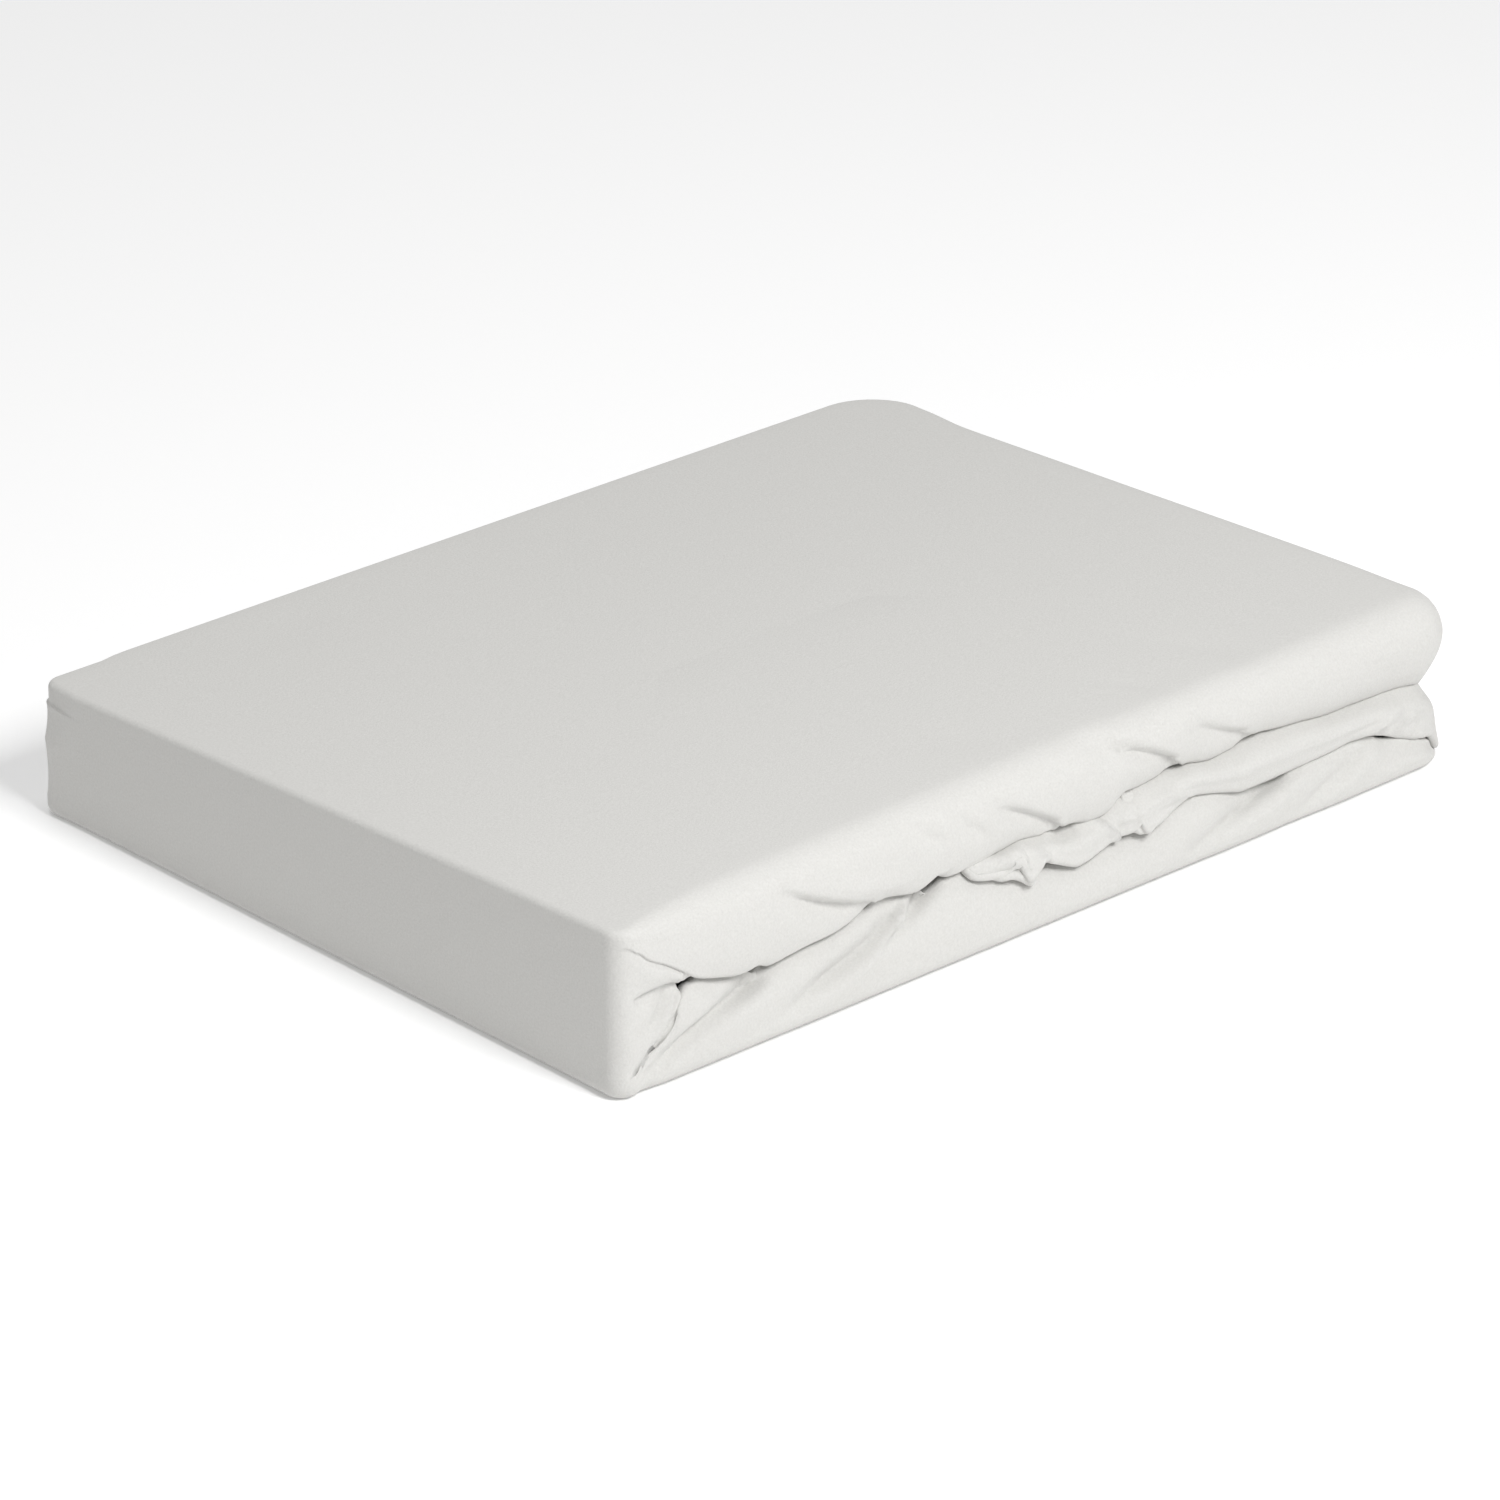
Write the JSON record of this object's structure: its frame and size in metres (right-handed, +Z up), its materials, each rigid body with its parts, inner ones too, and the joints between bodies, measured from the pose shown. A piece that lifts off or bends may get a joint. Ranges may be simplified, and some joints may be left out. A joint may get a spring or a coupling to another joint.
{
  "type": "folded mattress protector",
  "caption": "Folded knitted mattress protector: a flat rectangular pack of one cloth laid back and forth, its soft front edge rolled in over a gathered hem fold.",
  "frame": {"origin": "on the ground, under the middle of the pack", "axes": "+X along the pack from its smooth wall to its open end, -Y towards the open front with the lips, +Z up"},
  "size_m": [0.3806, 0.2902, 0.0595],
  "materials": {
    "cloth": "off-white cotton jersey, matt"
  },
  "bodies": {
    "root": {"folded_cloth": "cloth"}
  },
  "joints": []
}
